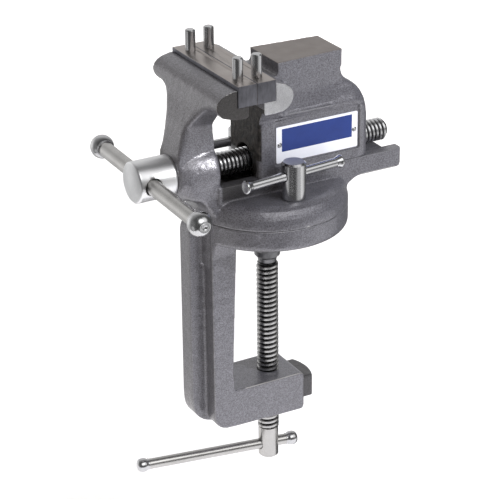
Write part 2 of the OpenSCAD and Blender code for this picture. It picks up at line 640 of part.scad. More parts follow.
module lock_caps(turn) color("gainsboro") translate([0, 0, lock_bar_z]) rotate([0, 0, turn])
    for (s = [0, 180]) rotate([0, 0, s]) translate([lock_bar_l / 2 - 4.2, 0, 0]) difference() {
        turn_x() polygon([[0, 0], [lock_bar_d / 2 + 0.1, 0], [lock_bar_d / 2 + 0.5, 1.2], [cap_d / 2, 2.8],
            [cap_d / 2, 3.8], [cap_d / 2 - 0.4, 4.2], [0, 4.2]]);
        rod_x(lock_bar_d * 0.6 + fit, -over, 3.3);
    }
module lock_caps_near() translate([0, -lock_r, 0]) lock_caps(near_turn);
module lock_caps_far() translate([0, lock_r, 0]) lock_caps(far_turn);

module clamp_pad() color("lightgray") difference() {
    r = pad_d / 2;
    rotate_extrude() polygon([[0, pad_top], [r - 0.8, pad_top], [r, pad_top - 0.8], [r, pad_top - 4.5],
        [r - 1, pad_top - 5.5], [8.2, pad_top - 8], [7.5, pad_top - 9], [7.5, pad_top - 12],
            [5.6, pad_top - 14],
        [5.3, pad_top - 16.2], [0, pad_top - 16.2]]);
    translate([0, 0, pad_top - 20]) cylinder(d = pad_spigot_d + 2 * fit, h = 20 + over);
    translate([0, 0, pad_top - 3.5]) cylinder(d = 12.6, h = 3.5 + over);
}

module clamp_screw() color("lightgray") difference() {
    rotate_extrude() polygon(concat([[0, screw_bottom], [tail_d / 2 - 0.7, screw_bottom],
        [tail_d / 2, screw_bottom + 0.7], [tail_d / 2, screw_thread_low - 0.5],
            [screw_d / 2 - 0.6, screw_thread_low]],
        thread(screw_d, screw_pitch, screw_thread_low, screw_thread_top - screw_thread_low),
        [[screw_d / 2 - 1.5, screw_thread_top], [pad_spigot_d / 2, screw_thread_top],
            [pad_spigot_d / 2, pad_top - 3.4],
        [5.9, pad_top - 3.4], [5.9, pad_top - 2.2], [5, pad_top - 0.8], [0, pad_top - 0.8]]));
    translate([0, 0, clamp_bar_z]) rotate([0, 0, clamp_bar_turn])
        rod_x(clamp_bar_d + 2 * loose, -screw_d, screw_d);
}

module clamp_bar() color("silver") clamp_bar_place() {
    rod_x(clamp_bar_d, -clamp_bar_long + 3, clamp_bar_short - 3);
    rod_x(clamp_bar_d * 0.6, -clamp_bar_long - 1.5, clamp_bar_short + 1.5);
}
module clamp_bar_place() translate([0, 0, clamp_bar_z]) rotate([0, 0, clamp_bar_turn]) children();
module clamp_bar_knobs() color("gainsboro") clamp_bar_place() {
    translate([clamp_bar_short, 0, 0]) knob();
    translate([-clamp_bar_long, 0, 0]) rotate([0, 0, 180]) knob();
}
// A pear-shaped end, thin where it meets the bar
module knob() difference() {
    r = clamp_bar_d * 0.67;
    turn_x() polygon(concat([[0, -3], [clamp_bar_d / 2 + 0.1, -3], [r * 0.88, -1.2]],
        arc([0, 0.6], r, -8, 62, 8), [[0, 0.6 + r * 0.883]]));
    rod_x(clamp_bar_d * 0.6 + fit, -4, 1.7);
}

clamp_frame();
pivot_pin();
swivel_base();
front_jaw_block();
front_block_screws();
front_jaw_pins();
spindle();
spindle_washer();
retaining_ring();
spindle_bar();
spindle_bar_balls();
sliding_jaw();
rear_jaw_block();
rear_block_screws();
rear_jaw_pins();
spindle_nut();
jaw_keeper();
keeper_screws();
nameplate();
nameplate_rivets();
lock_studs();
lock_post_near();
lock_post_far();
lock_bar_near();
lock_bar_far();
lock_caps_near();
lock_caps_far();
clamp_pad();
clamp_screw();
clamp_bar();
clamp_bar_knobs();
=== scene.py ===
import math

import bmesh
import bpy
import numpy as np
from mathutils import Matrix, Vector


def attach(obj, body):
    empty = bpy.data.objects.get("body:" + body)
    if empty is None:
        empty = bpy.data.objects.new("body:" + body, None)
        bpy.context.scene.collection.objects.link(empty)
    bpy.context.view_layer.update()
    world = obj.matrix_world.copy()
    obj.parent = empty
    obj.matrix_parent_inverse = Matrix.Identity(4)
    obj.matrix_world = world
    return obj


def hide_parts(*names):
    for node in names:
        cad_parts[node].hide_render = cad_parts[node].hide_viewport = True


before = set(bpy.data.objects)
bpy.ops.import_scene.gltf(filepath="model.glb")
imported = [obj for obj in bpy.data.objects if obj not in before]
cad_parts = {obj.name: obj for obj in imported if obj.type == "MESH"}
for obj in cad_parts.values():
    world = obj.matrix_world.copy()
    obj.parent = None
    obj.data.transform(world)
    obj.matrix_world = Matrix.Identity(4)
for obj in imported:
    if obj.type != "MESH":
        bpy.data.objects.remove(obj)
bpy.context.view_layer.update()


# Hammered silver-grey enamel, sprayed over all three castings before their machined faces are ground bare.
# It dries in small round dimples, with lighter metal flecks on the rims between them.
colour_a, colour_b, mixed = 6, 7, 2  # a colour Mix node's two inputs and its output


def effect(name, inputs, outputs):
    tree = bpy.data.node_groups.new(name, "ShaderNodeTree")
    for label, kind, value in inputs:
        tree.interface.new_socket(name=label, in_out="INPUT", socket_type=kind).default_value = value
    for label in outputs:
        tree.interface.new_socket(name=label, in_out="OUTPUT", socket_type="NodeSocketFloat")
    return tree, tree.nodes.new("NodeGroupInput"), tree.nodes.new("NodeGroupOutput")


def node(tree, kind, links=(), **settings):
    made = tree.nodes.new("ShaderNode" + kind)
    for key, value in settings.items():
        if hasattr(made, key):
            setattr(made, key, value)
        else:
            made.inputs[key.replace("_", " ")].default_value = value
    for source, socket in links:
        tree.links.new(source, made.inputs[socket])
    return made


def spread(tree, source, low, high, to_low, to_high, shape="LINEAR"):
    """Carries the stretch from low to high over to the stretch from to_low to to_high."""
    return node(tree, "MapRange", [(source, "Value")], interpolation_type=shape, From_Min=low, From_Max=high,
                To_Min=to_low, To_Max=to_high).outputs[0]


hammered, hammered_in, hammered_out = effect(
    "hammered finish", [("Dimple", "NodeSocketFloat", 1350.0)],
    ["Height", "Dimples", "Fleck", "Cloud", "Edge"])
place = node(hammered, "TexCoord").outputs["Object"]
swirl = node(hammered, "TexNoise", [(place, "Vector")], Scale=1100.0, Detail=2.0)
bent = node(hammered, "VectorMath", [(swirl.outputs["Color"], 0)], operation="SCALE")
bent.inputs["Scale"].default_value = 0.0009
moved = node(hammered, "VectorMath", [(place, 0), (bent.outputs[0], 1)], operation="ADD")
cells = node(hammered, "TexVoronoi", [(moved.outputs[0], "Vector"), (hammered_in.outputs["Dimple"], "Scale")],
             feature="SMOOTH_F1", Smoothness=0.7)
grain = node(hammered, "TexNoise", [(place, "Vector")], Scale=2300.0, Detail=1.0, Roughness=0.6)
cloud = node(hammered, "TexNoise", [(place, "Vector")], Scale=55.0, Detail=3.0)
lump = node(hammered, "TexNoise", [(place, "Vector")], Scale=190.0, Detail=1.5)
lump_share = 9.0
dimples = spread(hammered, cells.outputs["Distance"], 0.05, 0.75, 0.0, 1.0)
surface = node(hammered, "Math", [(lump.outputs["Fac"], 0), (dimples, 2)], operation="MULTIPLY_ADD")
surface.inputs[1].default_value = lump_share
bend = node(hammered, "NewGeometry").outputs["Pointiness"]
for source, label in (
        (surface.outputs[0], "Height"),
        (dimples, "Dimples"),
        (spread(hammered, grain.outputs["Fac"], 0.34, 0.68, 0.0, 1.0), "Fleck"),
        (spread(hammered, cloud.outputs["Fac"], 0.3, 0.7, 0.0, 1.0), "Cloud"),
        (spread(hammered, bend, 0.52, 0.6, 0.0, 1.0), "Edge")):
    hammered.links.new(source, hammered_out.inputs[label])


def finish(name, **sockets):
    material = bpy.data.materials.new(name)
    material.use_nodes = True
    shader = material.node_tree.nodes["Principled BSDF"]
    for key, value in sockets.items():
        shader.inputs[key.replace("_", " ")].default_value = value
    return material, material.node_tree, shader


def blend_colours(tree, share, dark, light):
    made = node(tree, "Mix", [(share, "Factor")], data_type="RGBA")
    made.inputs[colour_a].default_value = (*dark, 1)
    made.inputs[colour_b].default_value = (*light, 1)
    return made.outputs[mixed]


def tinted(tree, share, colour, other):
    """The colour with the plain other one laid over it where the share asks for it."""
    made = node(tree, "Mix", [(share, "Factor"), (colour, colour_a)], data_type="RGBA")
    made.inputs[colour_b].default_value = (*other, 1)
    return made.outputs[mixed]


def relief(tree, shader, height, strength, depth):
    bump = node(tree, "Bump", [(height, "Height")], Strength=strength, Distance=depth)
    tree.links.new(bump.outputs["Normal"], shader.inputs["Normal"])


def place_group(tree, group, **values):
    made = tree.nodes.new("ShaderNodeGroup")
    made.node_tree = group
    for key, value in values.items():
        made.inputs[key].default_value = value
    return made.outputs


enamel, tree, shader = finish("hammered enamel", Metallic=0.45, Coat_Weight=0.45, Coat_Roughness=0.16)
hammer = place_group(tree, hammered)
flecks = node(tree, "Math", [(hammer["Fleck"], 0), (hammer["Dimples"], 1)], operation="ADD")
body_tone = blend_colours(tree, spread(tree, flecks.outputs[0], 0.4, 1.5, 0, 1),
                          (0.105, 0.102, 0.110), (0.235, 0.231, 0.252))
# Painted highlight: convex edges, found by pointiness, are coloured lighter.
painted_edge_highlight = tinted(tree, hammer["Edge"], body_tone, (0.42, 0.415, 0.41))
# Painted shade: where a casting's painted_shade attribute asks, the enamel turns nearly black.
painted_shade_share = node(tree, "Attribute", attribute_name="painted_shade").outputs["Fac"]
tree.links.new(tinted(tree, painted_shade_share, painted_edge_highlight, (0.03, 0.027, 0.025)), shader.inputs["Base Color"])
tree.links.new(spread(tree, hammer["Cloud"], 0.0, 1.0, 0.28, 0.34), shader.inputs["Roughness"])
relief(tree, shader, hammer["Height"], 0.7, 0.00009)


# The clamp frame is one iron casting from a sand mould: lower disc, T-section column, arm and tongue.
# Its edges are round from the pattern; only the two disc faces and the screw's bore are machined crisp.
def casting(node_name, name, material):
    """A fine even skin over a packed casting, and its points in metres."""
    skin = bpy.data.objects.new(name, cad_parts[node_name].data.copy())
    bpy.context.scene.collection.objects.link(skin)
    bpy.context.view_layer.objects.active = skin
    skin.data.remesh_voxel_size = 0.00055
    bpy.ops.object.voxel_remesh()
    skin.data.materials.clear()
    skin.data.materials.append(material)
    points = np.empty(len(skin.data.vertices) * 3)
    skin.data.vertices.foreach_get("co", points)
    return skin, points.reshape(-1, 3)


def soften(skin, points, passes, painted_shade):
    """Rounds the skin by averaging each point with its neighbours as many times as its place asks, and keeps
    each point's share of painted shade.
    """
    ends = np.empty(len(skin.data.edges) * 2, np.int64)
    skin.data.edges.foreach_get("vertices", ends)
    one, other = ends.reshape(-1, 2).T
    index = np.r_[one, other]
    beside = np.r_[other, one]
    count = np.bincount(index, minlength=len(points))[:, None]
    for step in range(int(passes.max())):
        move = passes > step
        if step % 10 == 0:
            near = move[index]
            index, beside = index[near], beside[near]
        total = np.stack([np.bincount(index, points[beside, k], len(points)) for k in range(3)], 1)
        points[move] += 0.5 * (total[move] / count[move] - points[move])
    skin.data.vertices.foreach_set("co", points.ravel())
    # Each point's share of painted shade is kept for the enamel to darken by.
    skin.data.attributes.new("painted_shade", "FLOAT", "POINT").data.foreach_set("value", np.clip(painted_shade, 0, 1))
    skin.data.shade_smooth()
    skin.data.update()


def ease(distance, width):
    """0 on a machined face, 1 where the distance from it in mm reaches the width."""
    return np.clip(distance / width, 0, 1)


def refinish(skin, choose):
    """Gives each face of a casting the finish that its place in mm and the way it faces ask for."""
    centres = np.empty(len(skin.data.polygons) * 3)
    normals = np.empty(len(skin.data.polygons) * 3)
    skin.data.polygons.foreach_get("center", centres)
    skin.data.polygons.foreach_get("normal", normals)
    chosen = choose(*(centres.reshape(-1, 3).T * 1000), normals.reshape(-1, 3))
    skin.data.polygons.foreach_set("material_index", chosen.astype(np.int32))


def ride(piece, body, slot, *nodes):
    if nodes:
        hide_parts(*nodes)
    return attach(piece, body)


frame_skin, points = casting("clamp_frame", "clamp_frame_casting", enamel)
x, y, z = points.T * 1000
from_axis = np.hypot(x, y)
disc_joint, arm_below = 13, -80
screw_bore_rim, pin_bore_rim, disc_rim, column_face = 6.9, 6.5, 44, -28
passes = 7 * np.minimum.reduce([
    ease(np.abs(z - disc_joint) - 1, 2),
    0.25 + ease(z + 0.5, 2) + ease(-z, 0.5),
    np.where(z < arm_below, ease(from_axis - screw_bore_rim, 2.5), 1),
    np.where(z > -1, ease(from_axis - pin_bore_rim, 1), 1)])
# Painted shade: the enamel is darkened under the disc and beside the tongue, where shade falls.
under_disc = ease(z + 6, 6) * (from_axis < disc_rim) * (x > column_face)
beside_tongue = ease(x - 14.5, 1.5) * (z < arm_below)
soften(frame_skin, points, passes, 0.6 * under_disc + 0.75 * beside_tongue)

# A light metallic colour that stands in for bright highlight lines along some edges.
painted_highlight, tree, shader = finish("painted edge highlight", Metallic=0.7)
hammer = place_group(tree, hammered)
tree.links.new(blend_colours(tree, hammer["Cloud"], (0.3, 0.29, 0.28), (0.7, 0.685, 0.665)),
               shader.inputs["Base Color"])
tree.links.new(spread(tree, hammer["Fleck"], 0.0, 1.0, 0.3, 0.42), shader.inputs["Roughness"])
frame_skin.data.materials.append(painted_highlight)
arm_edge, arm_ends = -96.2, (-24, 15)
# The arm's top near edge is given the painted highlight.
refinish(frame_skin, lambda fx, fy, fz, facing: (
    (facing[:, 1] < -0.3) & (facing[:, 2] > 0.3) & (np.abs(fz - arm_edge) < 0.9)
    & (fx > arm_ends[0]) & (fx < arm_ends[1])).astype(int))
ride(frame_skin, "frame", "enamel", "clamp_frame")


# The swivel base is the second casting: upper disc, spindle boss, front jaw, rails and tail in one.
# The jaw's seat and ends, the rails' tops and the channel are milled, and the disc's underside is turned.
spindle_z, jaw_half, front_seat = 41.1, 38.1, -38.6
base_skin, points = casting("swivel_base", "swivel_base_casting", enamel)
x, y, z = points.T * 1000
from_spindle = np.hypot(y, z - spindle_z)
neck = (x < -37) & (z > 48) & (z < 97)
sweep = (x < -25) & (z > 20) & (z <= 48)
rail = (x > -36) & (z > 28)
neck_passes = 10 + 70 * ease(90 - z, 6) * ease(z - 52, 6) * ease(-41.5 - x, 5)
sweep_passes = 8 + 42 * ease(-40 - x, 4)
passes = np.where(neck, neck_passes, np.where(sweep, sweep_passes, 4.0))
passes = np.where(rail, 4, passes)
passes *= np.minimum.reduce([
    ease(np.abs(z - disc_joint) - 1, 2),
    np.where(z > 84, ease(front_seat - x, 5), 1),
    np.where((z > 80) & (x > -41), 0.1, 1),
    0.06 + ease(jaw_half - np.abs(y) - 0.5, 4),
    ease(from_spindle - 7.4, 2.2)])
# Painted shade: the enamel is darkened in the corner between the boss and the rails and along the channel,
# where shade falls.
corner = ease(-10 - x, 14) * ease(x - front_seat, 0.6) * ease(z - 25, 2) * ease(21 - np.abs(y), 1)
channel = (np.abs(y) < 11.5) & (x > -38) & (z > 20)
soften(base_skin, points, passes, 0.8 * corner + 0.5 * channel)

jaw_end, tree, shader = finish("dark jaw end", Metallic=0.5)
hammer = place_group(tree, hammered, Dimple=900.0)
tree.links.new(blend_colours(tree, hammer["Fleck"], (0.048, 0.045, 0.043), (0.092, 0.087, 0.084)),
               shader.inputs["Base Color"])
tree.links.new(spread(tree, hammer["Cloud"], 0.0, 1.0, 0.42, 0.52), shader.inputs["Roughness"])
relief(tree, shader, hammer["Fleck"], 0.3, 0.00006)
base_skin.data.materials.append(jaw_end)
base_skin.data.materials.append(painted_highlight)
# On the front jaw's D ends the flat faces take the dark jaw end finish, and their curved rim takes the
# painted highlight.
refinish(base_skin, lambda fx, fy, fz, facing: np.where(
    (np.abs(fy) > 37.25) & (fz > 70), np.where((np.abs(facing[:, 1]) > 0.75) | (fx > -39), 1, 2), 0))
ride(base_skin, "base", "enamel", "swivel_base")


# The sliding jaw is the third casting: body, rear jaw and anvil, and the tongue that runs between the rails.
# The anvil's top and the rear jaw's ends are ground bare, and the enamel stops sharply at their edges.
brushed, brushed_in, brushed_out = effect(
    "brushed grain", [("Stretch", "NodeSocketVector", (1, 1, 1)), ("Fineness", "NodeSocketFloat", 1400.0)],
    ["Streak", "Stain"])
place = node(brushed, "TexCoord").outputs["Object"]
drawn = node(brushed, "VectorMath", [(place, 0), (brushed_in.outputs["Stretch"], 1)], operation="MULTIPLY")
streak = node(brushed, "TexNoise",
              [(drawn.outputs[0], "Vector"), (brushed_in.outputs["Fineness"], "Scale")],
              Detail=3.0, Roughness=0.6)
stain = node(brushed, "TexNoise", [(place, "Vector")], Scale=120.0, Detail=4.0)
for source, label in ((streak, "Streak"), (stain, "Stain")):
    brushed.links.new(spread(brushed, source.outputs["Fac"], 0.3, 0.7, 0.0, 1.0), brushed_out.inputs[label])


def steel(name, dark, light, rough, stretch=(1, 1, 1), fineness=1400.0, depth=0.00001):
    """A bare metal whose brushing runs along the axis with the small stretch."""
    material, tree, shader = finish(name, Metallic=1.0)
    grain = place_group(tree, brushed, Stretch=stretch, Fineness=fineness)
    tone = node(tree, "Math", [(grain["Streak"], 0), (grain["Stain"], 1)], operation="ADD")
    tree.links.new(blend_colours(tree, spread(tree, tone.outputs[0], 0.3, 1.7, 0, 1), dark, light),
                   shader.inputs["Base Color"])
    tree.links.new(spread(tree, grain["Streak"], 0, 1, rough[0], rough[1]), shader.inputs["Roughness"])
    relief(tree, shader, grain["Streak"], 0.35, depth)
    return material


ground = steel("ground anvil face", (0.30, 0.265, 0.25), (0.37, 0.335, 0.32), (0.36, 0.46), (1, 0.05, 1))
milled = steel("milled jaw end", (0.62, 0.62, 0.64), (0.95, 0.95, 0.97), (0.5, 0.62), fineness=1700.0)
jaw_skin, points = casting("sliding_jaw", "sliding_jaw_casting", enamel)
x, y, z = points.T * 1000
from_spindle = np.hypot(y, z - spindle_z)
anvil_top, rear_seat, gripping_side = 100, 86.5, -15.4

# The lip of the plate's recess overhangs its floor a little, and a soft ridge runs along above it.
recess_lip, ridge_middle, ridge_width, ridge_height = -0.0161, 69.7, 1.25, 0.0015
beside_plate = (y < -15) & (y > -20) & (x > -4.6) & (x < 51)
points[beside_plate & (z > 62) & (z < 66.4), 1] = recess_lip
along_plate = np.minimum.reduce([ease(x + 3, 8), ease(54 - x, 8), ease(y + 23, 4)]) * (y < -14)
points[:, 1] -= ridge_height * along_plate * np.exp(-((z - ridge_middle) / ridge_width) ** 2)

over_rails = (x > -2) & (np.abs(y) > 12) & (z > np.where(y < 0, 73, 60)) & (z < 84)
shoulder = (z > 60) & (z < 90) & ((x > 32) | over_rails)
recess = (y < -15) & (x > -6) & (x < 53) & (z > 38.5) & (z < 68)
passes = np.where(shoulder, 60, np.where(z > 90, 3, np.where(z > 68, 5, 7.0)))
passes = np.where(recess | (z < 35), 2, passes)
passes *= np.minimum.reduce([
    ease(anvil_top - z - 0.6, 2.5),
    np.where(z > rear_seat, ease(x - gripping_side, 2), 1),
    np.where(x < -14.5, ease(np.abs(z - rear_seat), 3), 1),
    0.06 + ease(jaw_half - np.abs(y) - 0.5, 4),
    0.1 + ease(from_spindle - 9.3, 2)])
# Painted shade: the enamel is darkened around the spindle's tunnel through the body.
soften(jaw_skin, points, passes, 0.9 * (from_spindle < 14) * (x < 50) * (np.abs(y) < 14))

# Raw casting skin, made nearly black as painted shade, for the sliding jaw's front face and the undersides in
# front of its body.
raw_skin_and_shade, tree, shader = finish("raw casting skin and painted shade", Metallic=0.3)
place = node(tree, "TexCoord").outputs["Object"]
scale_marks = node(tree, "TexNoise", [(place, "Vector")],
                   Scale=330.0, Detail=5.0, Roughness=0.65).outputs["Fac"]
tree.links.new(blend_colours(tree, spread(tree, scale_marks, 0.4, 0.66, 0, 1),
                             (0.016, 0.0145, 0.0135), (0.115, 0.102, 0.094)), shader.inputs["Base Color"])
tree.links.new(spread(tree, scale_marks, 0.3, 0.7, 0.45, 0.7), shader.inputs["Roughness"])
relief(tree, shader, scale_marks, 1.0, 0.0009)
for material in (ground, milled, raw_skin_and_shade):
    jaw_skin.data.materials.append(material)
refinish(jaw_skin, lambda fx, fy, fz, facing: np.select(
    [fz > anvil_top - 0.1,
     np.abs(fy) > jaw_half - 0.15,
     (fx < 0) & (fz > 45) & (fz < 84) & ((facing[:, 0] < -0.6) | (facing[:, 2] < -0.6))],
    [1, 2, 3], 0))
ride(jaw_skin, "jaw", "enamel", "sliding_jaw")


# The two jaw blocks are flat ground bars, each held by two countersunk screws behind its gripping face.
# Their sharp edges are broken with a stone; the sawn ends keep a dark blue-grey skin.
def edges_broken(node_name, name, width, *materials):
    """A copy of a machined piece with its sharp edges broken to the width in mm."""
    work = bmesh.new()
    work.from_mesh(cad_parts[node_name].data)
    bmesh.ops.remove_doubles(work, verts=work.verts, dist=1e-6)
    bmesh.ops.dissolve_limit(work, angle_limit=math.radians(0.3), verts=work.verts, edges=work.edges)
    sharp = [e for e in work.edges if len(e.link_faces) == 2
             and e.calc_face_angle(0) > math.radians(35) and e.calc_length() > 0.003]
    bmesh.ops.bevel(work, geom=sharp, offset=width / 1000, segments=2, profile=0.6, affect="EDGES",
                    clamp_overlap=True)
    return from_work(work, name, *materials)


def from_work(work, name, *materials):
    mesh = bpy.data.meshes.new(name)
    work.to_mesh(mesh)
    work.free()
    mesh.shade_smooth()
    mesh.set_sharp_from_angle(angle=math.radians(32))
    for material in materials:
        mesh.materials.append(material)
    piece = bpy.data.objects.new(name, mesh)
    bpy.context.scene.collection.objects.link(piece)
    return piece


block_steel = steel("ground block", (0.42, 0.38, 0.36), (0.52, 0.48, 0.455), (0.3, 0.4), (1, 0.03, 1), 1900.0)
sawn_end_and_shade = steel("sawn block end and painted shade", (0.16, 0.16, 0.18), (0.27, 0.27, 0.30), (0.4, 0.55), (1, 1, 0.3), 900.0)
grip_x, block_thickness, block_half = -0.027, 0.0115, 0.038
for node_name, body in (("front_jaw_block", "base"), ("rear_jaw_block", "jaw")):
    block = edges_broken(node_name, node_name + "_bar", 0.35, block_steel, sawn_end_and_shade)
    # The face away from the grip and the broken edges at the split between the blocks take the dark end
    # finish as painted shade; the sawn ends have it as their own skin.
    for face in block.data.polygons:
        outside = abs(face.center.x - grip_x) > block_thickness
        groove = abs(face.center.x - grip_x) < 0.0004 and face.normal.z > 0.1
        sawn = abs(face.normal.y) > 0.9 and abs(face.center.y) > block_half
        face.material_index = int(outside or groove or sawn)
    ride(block, body, "ground_steel", node_name)


# The jaw pins, lock posts, lock bars and the nameplate's rivets are turned from drawn bar and polished
# bright, which leaves hair-fine marks along them. The two lock posts' tops are faced off and stay matt.
def in_finish(material, *node_names):
    """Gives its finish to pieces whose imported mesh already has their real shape."""
    for node_name in node_names:
        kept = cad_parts[node_name].data
        kept.materials.clear()
        kept.materials.append(material)


bright = steel("polished steel", (0.58, 0.58, 0.59), (0.68, 0.68, 0.69), (0.18, 0.24), (1, 1, 0.04), 2600.0,
               0.0000003)
turned_top = steel("faced post top", (0.74, 0.75, 0.8), (0.82, 0.83, 0.88), (0.6, 0.7), fineness=1500.0,
                   depth=0.000003)
in_finish(bright, "front_jaw_pins", "rear_jaw_pins", "lock_post_near", "lock_post_far",
          "lock_bar_near", "lock_bar_far", "nameplate_rivets")
post_top = 0.04705
for side in ("near", "far"):
    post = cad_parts["lock_post_" + side].data
    post.materials.append(turned_top)
    for face in post.polygons:
        face.material_index = int(face.center.z > post_top)


# The swivel's pivot pin, the spindle's thrust washer and the two sliding bars are cut from plain steel rod,
# turned to size and left with a satin surface.
satin = steel("satin turned steel", (0.5, 0.49, 0.478), (0.6, 0.59, 0.577), (0.26, 0.33), fineness=2400.0,
              depth=0.0000015)
in_finish(satin, "pivot_pin", "spindle_washer", "spindle_bar", "clamp_bar")


# Screws, retaining ring, keeper plate and lock studs hold the vise together unseen, in oiled black steel.
# The nut that the spindle turns in is a plain bronze casting, set in a pocket of the sliding jaw.
dark = steel("dark fasteners", (0.09, 0.09, 0.10), (0.16, 0.16, 0.17), (0.38, 0.5), fineness=900.0,
             depth=0.00002)
bronze = steel("cast bronze", (0.34, 0.23, 0.11), (0.50, 0.36, 0.18), (0.35, 0.5), fineness=700.0,
               depth=0.00004)
in_finish(dark, "front_block_screws", "rear_block_screws", "retaining_ring", "jaw_keeper", "keeper_screws",
          "lock_studs")
in_finish(bronze, "spindle_nut")


# The spindle is one steel turning: a polished round head with the bar's cross hole, the journal in the boss,
# and a right-hand thread rolled on it that drives the jaw.
def rolled_thread(crest, root, pitch, low, high, low_end, high_end, place):
    """A right-hand thread along Z, its grid lines on the helix, cut square and chamfered at both ends."""
    around, rows = 56, 10
    count = int((high - low) / pitch * rows) + 3 * rows
    work = bmesh.new()
    grid = []
    for i in range(count):
        lift = min(1, max(0, 0.85 + 1.2 * math.cos(2 * math.pi * i / rows)))  # broad crest, narrow root
        ring = []
        for j in range(around):
            turn = 2 * math.pi * j / around
            h = low - 2 * pitch + (i / rows + j / around) * pitch
            r = min(root + (crest - root) * lift, low_end + max(0, h - low), high_end + max(0, high - h))
            ring.append(work.verts.new(Vector((r * math.cos(turn), r * math.sin(turn), h))))
        grid.append(ring)
    for i in range(count - 1):
        for j in range(around):
            k = i + (rows if j == around - 1 else 0)
            if k + 1 < count:
                n = (j + 1) % around
                work.faces.new((grid[i][j], grid[k][n], grid[k + 1][n], grid[i + 1][j]))
    for height, way in ((low, -1), (high, 1)):
        bmesh.ops.bisect_plane(work, geom=work.verts[:] + work.edges[:] + work.faces[:],
                               plane_co=(0, 0, height), plane_no=(0, 0, way), clear_outer=True)
        rim = [e for e in work.edges if e.is_boundary and abs(e.verts[0].co.z - height) < 1e-4
               and abs(e.verts[1].co.z - height) < 1e-4]
        bmesh.ops.edgenet_fill(work, edges=rim)
    bmesh.ops.recalc_face_normals(work, faces=work.faces)
    work.transform(Matrix.Scale(0.001, 4) @ place)
    return work


def part_of_node(node_name, keep_point, keep_way):
    """The stretch of a turned node on one side of a plane, closed where it is cut."""
    work = bmesh.new()
    work.from_mesh(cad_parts[node_name].data)
    bmesh.ops.remove_doubles(work, verts=work.verts, dist=1e-6)
    bmesh.ops.bisect_plane(work, geom=work.verts[:] + work.edges[:] + work.faces[:],
                           plane_co=Vector(keep_point) / 1000, plane_no=-Vector(keep_way), clear_outer=True)
    bmesh.ops.edgenet_fill(work, edges=[e for e in work.edges if e.is_boundary])
    return work


def mouths_opened(work, place, radius, start, axis, low, high):
    """The turning with both mouths of its cross hole opened to the radius, from the start in mm outwards.

    It is first parted in thin slices from low to high along its axis, so that it shades evenly there.
    """
    slice_width = 0.9
    for i in range(int((high - low) / slice_width)):
        bmesh.ops.bisect_plane(work, geom=work.verts[:] + work.edges[:] + work.faces[:],
                               plane_co=Vector(axis) * (low + slice_width * i) / 1000, plane_no=axis)
    body = from_work(work, "body")
    for way in (-1, 1):
        drill = bmesh.new()
        bmesh.ops.create_cone(drill, cap_ends=True, segments=48, radius1=radius, radius2=radius, depth=20,
                              matrix=Matrix.Translation((0, 0, way * (start + 10))))
        drill.transform(Matrix.Scale(0.001, 4) @ place)
        tool = from_work(drill, "tool")
        cut = body.modifiers.new("cut", "BOOLEAN")
        cut.object = tool
        cut.solver = "EXACT"
    shaped = body.evaluated_get(bpy.context.evaluated_depsgraph_get()).to_mesh()
    result = bmesh.new()
    result.from_mesh(shaped)
    for spare in [body] + [m.object for m in body.modifiers]:
        bpy.data.objects.remove(spare)
    return result


def joined(name, works, *materials):
    whole = bmesh.new()
    for work in works:
        part = bpy.data.meshes.new("part")
        work.to_mesh(part)
        work.free()
        whole.from_mesh(part)
        bpy.data.meshes.remove(part)
    return from_work(whole, name, *materials)


screw_shade, shade_in, shade_out = effect(
    "thread shade",
    [("Across", "NodeSocketVector", (1, 1, 0)), ("Centre", "NodeSocketVector", (0, 0, 0)),
     ("Root", "NodeSocketFloat", 0.005), ("Crest", "NodeSocketFloat", 0.006)], ["Crest"])
place = node(screw_shade, "TexCoord").outputs["Object"]
offset = node(screw_shade, "VectorMath", [(place, 0), (shade_in.outputs["Centre"], 1)], operation="SUBTRACT")
flat = node(screw_shade, "VectorMath", [(offset.outputs[0], 0), (shade_in.outputs["Across"], 1)],
            operation="MULTIPLY")
radius = node(screw_shade, "VectorMath", [(flat.outputs[0], 0)], operation="LENGTH")
crest = node(screw_shade, "MapRange", [(radius.outputs["Value"], 0), (shade_in.outputs["Root"], 1),
                                       (shade_in.outputs["Crest"], 2)])
screw_shade.links.new(crest.outputs[0], shade_out.inputs["Crest"])


def thread_steel(name, across, centre, root, crest, painted_root_shade, bright_crest):
    """Thread steel with painted shade: it darkens from the crest's radius in metres down to the root's."""
    material, tree, shader = finish(name, Metallic=1.0)
    shade = place_group(tree, screw_shade, Across=across, Centre=centre, Root=root, Crest=crest)
    tree.links.new(blend_colours(tree, shade["Crest"], painted_root_shade, bright_crest), shader.inputs["Base Color"])
    tree.links.new(spread(tree, shade["Crest"], 0, 1, 0.45, 0.27), shader.inputs["Roughness"])
    marks = place_group(tree, brushed, Stretch=(1, 1, 1), Fineness=1600.0)
    relief(tree, shader, marks["Streak"], 0.3, 0.00001)
    return material


satin_head = steel("polished head", (0.88, 0.88, 0.89), (0.95, 0.95, 0.96), (0.33, 0.4), (0.04, 1, 1), 2600.0,
                   0.000002)
turned_face = steel("faced end", (0.82, 0.825, 0.83), (0.93, 0.935, 0.94), (0.5, 0.58), fineness=1500.0,
                    depth=0.000004)
